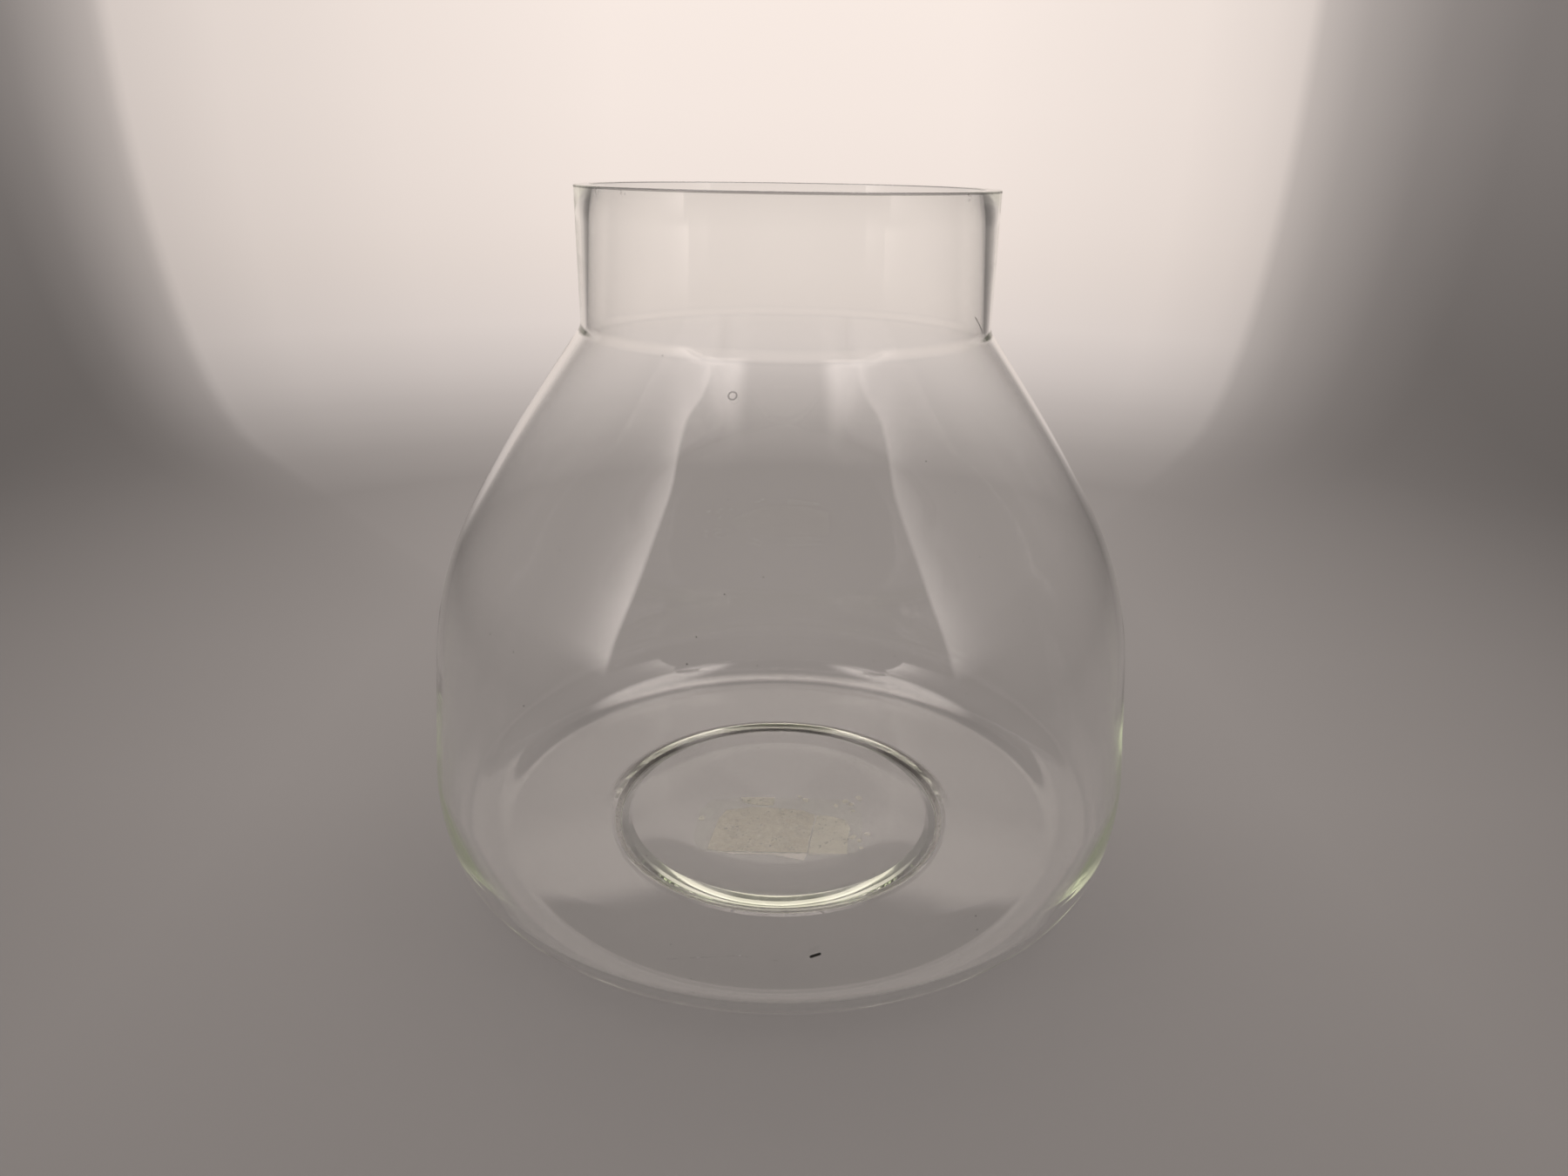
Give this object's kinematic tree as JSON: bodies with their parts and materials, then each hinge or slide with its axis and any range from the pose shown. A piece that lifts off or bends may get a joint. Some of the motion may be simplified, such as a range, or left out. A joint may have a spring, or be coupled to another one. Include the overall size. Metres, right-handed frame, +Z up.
{
  "type": "glass wasp trap jar",
  "caption": "Clear blown-glass wasp trap jar with a wide cut neck, sloping shoulder, rounded belly and pushed-up base that carries torn label remains.",
  "frame": {"origin": "centre of the base, on the surface that the jar stands on", "axes": "+Z up along the jar's axis to its open mouth; -Y towards the side that the label remains lie on"},
  "size_m": [0.1676, 0.1676, 0.155],
  "materials": {
    "clear_glass": "clear",
    "dried_glue": "dull",
    "printed_paper": "matte",
    "bare_paper": "matte"
  },
  "bodies": {
    "root": {"glass_body": "clear_glass", "label_glue_film": "dried_glue", "label_printed_paper": "printed_paper", "label_bare_paper": "bare_paper", "label_upper_strip": "bare_paper", "paper_fleck_1": "bare_paper", "paper_fleck_2": "bare_paper", "paper_fleck_3": "bare_paper", "paper_fleck_4": "bare_paper", "paper_fleck_5": "bare_paper", "paper_fleck_6": "bare_paper", "paper_fleck_7": "bare_paper", "paper_fleck_8": "bare_paper", "paper_fleck_9": "bare_paper", "paper_fleck_10": "bare_paper", "paper_fleck_11": "bare_paper", "paper_fleck_12": "bare_paper"}
  },
  "joints": []
}
